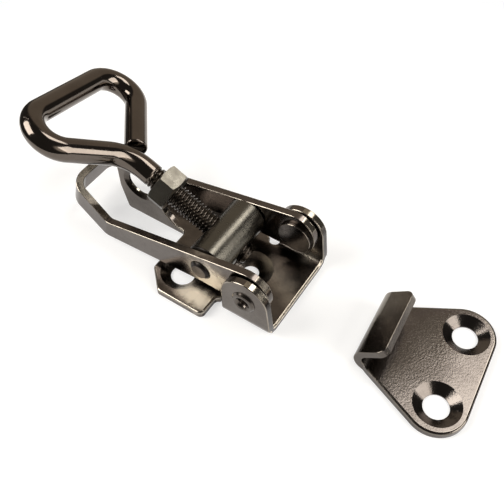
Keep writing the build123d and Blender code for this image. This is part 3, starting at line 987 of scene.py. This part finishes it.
@dataclass
class Studio:
    """Pale floor, soft lamps, dark tent and the camera."""

    target: tuple = (-10.82 * MM, 6.09 * MM, 0.0)
    azimuth: float = 33.13
    elevation: float = 52.49
    distance: float = 183.53 * MM
    lens: float = 49.03              # mm, for the sensor below
    sensor: float = 36.0             # mm
    clip: tuple = (0.01, 20.0)
    floor_half: float = 0.15
    floor_drop: float = 0.02 * MM    # clear of the plates' undersides
    floor_glow: float = 0.55
    floor_colour: tuple = (0.50, 0.50, 0.50, 1.0)
    floor_roughness: float = 0.9
    lamps: tuple = field(default_factory=lambda: (
        Softbox("right_softbox", 95.0, 25.0, 0.7, 0.52, 0.52, 4.4),
        Softbox("left_softbox", 305.0, 38.0, 0.7, 0.42, 0.48, 4.8),
        Softbox("top_softbox", 157.0, 60.0, 0.7, 0.20, 0.34, 1.35),
    ))

    def build(self) -> None:
        """Set up the camera, lamps, world, tent and floor."""
        scene = bpy.context.scene
        scene.view_settings.view_transform = "Standard"
        target = Vector(self.target)
        camera = bpy.data.cameras.new("camera")
        camera.lens = self.lens
        camera.sensor_width = self.sensor
        camera.clip_start, camera.clip_end = self.clip
        holder = bpy.data.objects.new("camera", camera)
        scene.collection.objects.link(holder)
        aim(holder, target + outward(self.azimuth, self.elevation) * self.distance, target)
        scene.camera = holder
        for lamp in self.lamps:
            lamp.build(target)
        Tent().build()
        self.build_world()
        self.build_floor()

    def build_world(self) -> None:
        """Make the plain white background; the tent keeps it out of the metal's mirror."""
        world = bpy.data.worlds.new("white_background")
        bpy.context.scene.world = world
        world.use_nodes = True
        tree = world.node_tree
        background = tree.nodes["Background"]
        feed(tree, background.inputs["Color"], WHITE)
        feed(tree, background.inputs["Strength"], seen_directly(tree))

    def build_floor(self) -> None:
        """Lay the pale floor, which shows white to the camera and keeps the latch's shadow."""
        half = self.floor_half
        mesh = bpy.data.meshes.new("floor")
        mesh.from_pydata([(-half, -half, 0), (half, -half, 0), (half, half, 0), (-half, half, 0)],
                         [], [(0, 1, 2, 3)])
        floor = add_object("floor", mesh)
        floor.location.z = -self.floor_drop
        material = bpy.data.materials.new("pale_floor")
        material.use_nodes = True
        tree = material.node_tree
        shader = tree.nodes["Principled BSDF"]
        glow = math_node(tree, "MULTIPLY", seen_directly(tree), self.floor_glow)
        for label, value in (("Base Color", self.floor_colour),
                             ("Roughness", self.floor_roughness), ("Specular IOR Level", 0.0),
                             ("Emission Color", WHITE), ("Emission Strength", glow)):
            feed(tree, shader.inputs[label], value)
        mesh.materials.append(material)


def seen_directly(tree: bpy.types.NodeTree):
    """Give 1 where the camera sees a thing directly, mirrored or through glass, otherwise 0."""
    path = tree.nodes.new("ShaderNodeLightPath")
    mirrored = math_node(tree, "MAXIMUM", path.outputs["Is Glossy Ray"],
                         path.outputs["Is Transmission Ray"])
    return math_node(tree, "MAXIMUM", path.outputs["Is Camera Ray"], mirrored)


@dataclass
class ToggleLatch:
    """The whole latch: stamped pieces, turned pieces, hook bolt, nut and catch plate."""

    pieces: tuple = field(default_factory=lambda: (
        StampedPiece("base_plate", "root", "plate_nickel", POLISHED_BASE, edge=0.2 * MM,
                     roll=0.26 * MM, lip=0.6 * MM, tints=(
                         # Forward faces get a painted dark reflection; rims above the ears' foot
                         # a painted highlight.
                         FaceTint(DARK_FRONT_REFLECTION, (1.0, 0.0, 0.0)),
                         FaceTint(RIM_HIGHLIGHT, (0.5, 0.0, 0.87), 28.0, EAR_FOOT))),
        StampedPiece("lever", "lever", "lever_nickel", POLISHED_LEVER,
                     # Rims of the lever that look up and forward get a painted highlight.
                     tints=(FaceTint(RIM_HIGHLIGHT, (0.62, 0.0, 0.79), 20.0),)),
        StampedPiece("catch_plate", "root", "catch_nickel", POLISHED_CATCH,
                     edge_wear_and_light=ROLLED_RIM, roll=0.34 * MM),
        StampedPiece("trunnion", "trunnion", "trunnion_nickel", SATIN_BARREL,
                     # Painted shade, near-black, on the trunnion's rounded edges and round its
                     # near pin end.
                     edge_wear_and_light=PIN_RING_SHADE, tints=(FaceTint(PIN_FACE, (0.0, -1.0, 0.0), 10.0),
                                           FaceTint(PIN_RING_SHADE, (0.0, -1.0, 0.0), 60.0))),
        StampedPiece("near_pivot_rivet", "root", "rivet_nickel", RIVET_NICKEL, edge=0.1 * MM),
        StampedPiece("far_pivot_rivet", "root", "rivet_nickel", RIVET_NICKEL, edge=0.1 * MM),
        StampedPiece("lock_nut", "nut", "nut_zinc", PALE_NUT),
        HookBolt(POLISHED_ROD, ROLLED_THREAD),
    ))

    def build(self) -> None:
        """Build every piece."""
        # The sheen patch group paints pale sheen patches.
        groups = {"tone": plating_tone_group(), "marks": tool_marks_group(),
                  "sheen_patch": sheen_patch_group()}
        for piece in self.pieces:
            piece.build(groups)


def main() -> None:
    """Dress the latch and set up the studio."""
    logging.basicConfig(level=logging.INFO, format="%(message)s")
    Studio().build()
    ToggleLatch().build()


if __name__ == "__main__":
    main()
